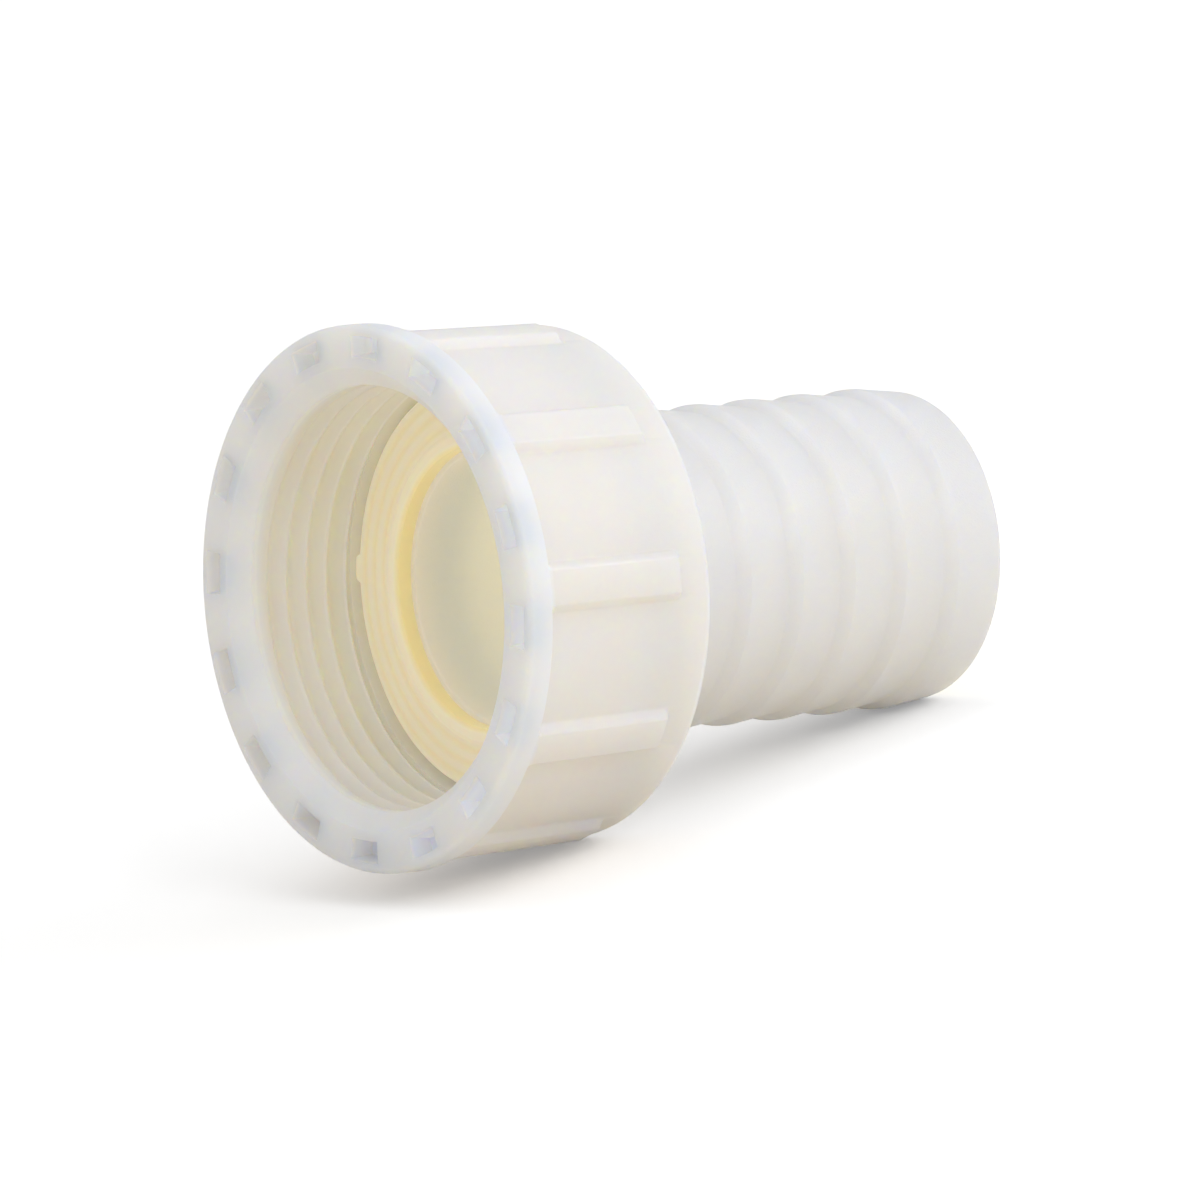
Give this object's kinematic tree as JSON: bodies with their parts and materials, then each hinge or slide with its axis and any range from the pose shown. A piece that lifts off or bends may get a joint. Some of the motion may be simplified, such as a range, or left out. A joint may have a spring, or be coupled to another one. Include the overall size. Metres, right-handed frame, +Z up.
{
  "type": "hose barb fitting",
  "caption": "Barbed hose tail held by a swivelling union nut with an inner pipe thread and a flat sealing washer; a hose pushes onto the barbs and the nut screws to a threaded outlet.",
  "frame": {"origin": "middle of the nut's thread where it begins, just inside the mouth", "axes": "+X along the fitting towards the tip of the tail, whose axis leans 12.74 degrees below +X as the fitting lies on the nut's rear edge and its tip; +Z up"},
  "size_m": [0.0711, 0.051, 0.0529],
  "materials": {
    "union_nut": "natural milky polypropylene, satin",
    "hose_tail": "natural milky polypropylene, fine matt grain",
    "sealing_washer": "straw-yellow moulded elastomer, semi-gloss"
  },
  "bodies": {
    "tail": {"hose_tail": "hose_tail", "sealing_washer": "sealing_washer"},
    "nut": {"union_nut": "union_nut"}
  },
  "joints": [
    {"name": "nut_swivel", "type": "hinge", "parent": "tail", "child": "nut", "pos_m": [0, 0, 0], "axis": [0.9754, 0, -0.2206], "continuous": true}
  ]
}
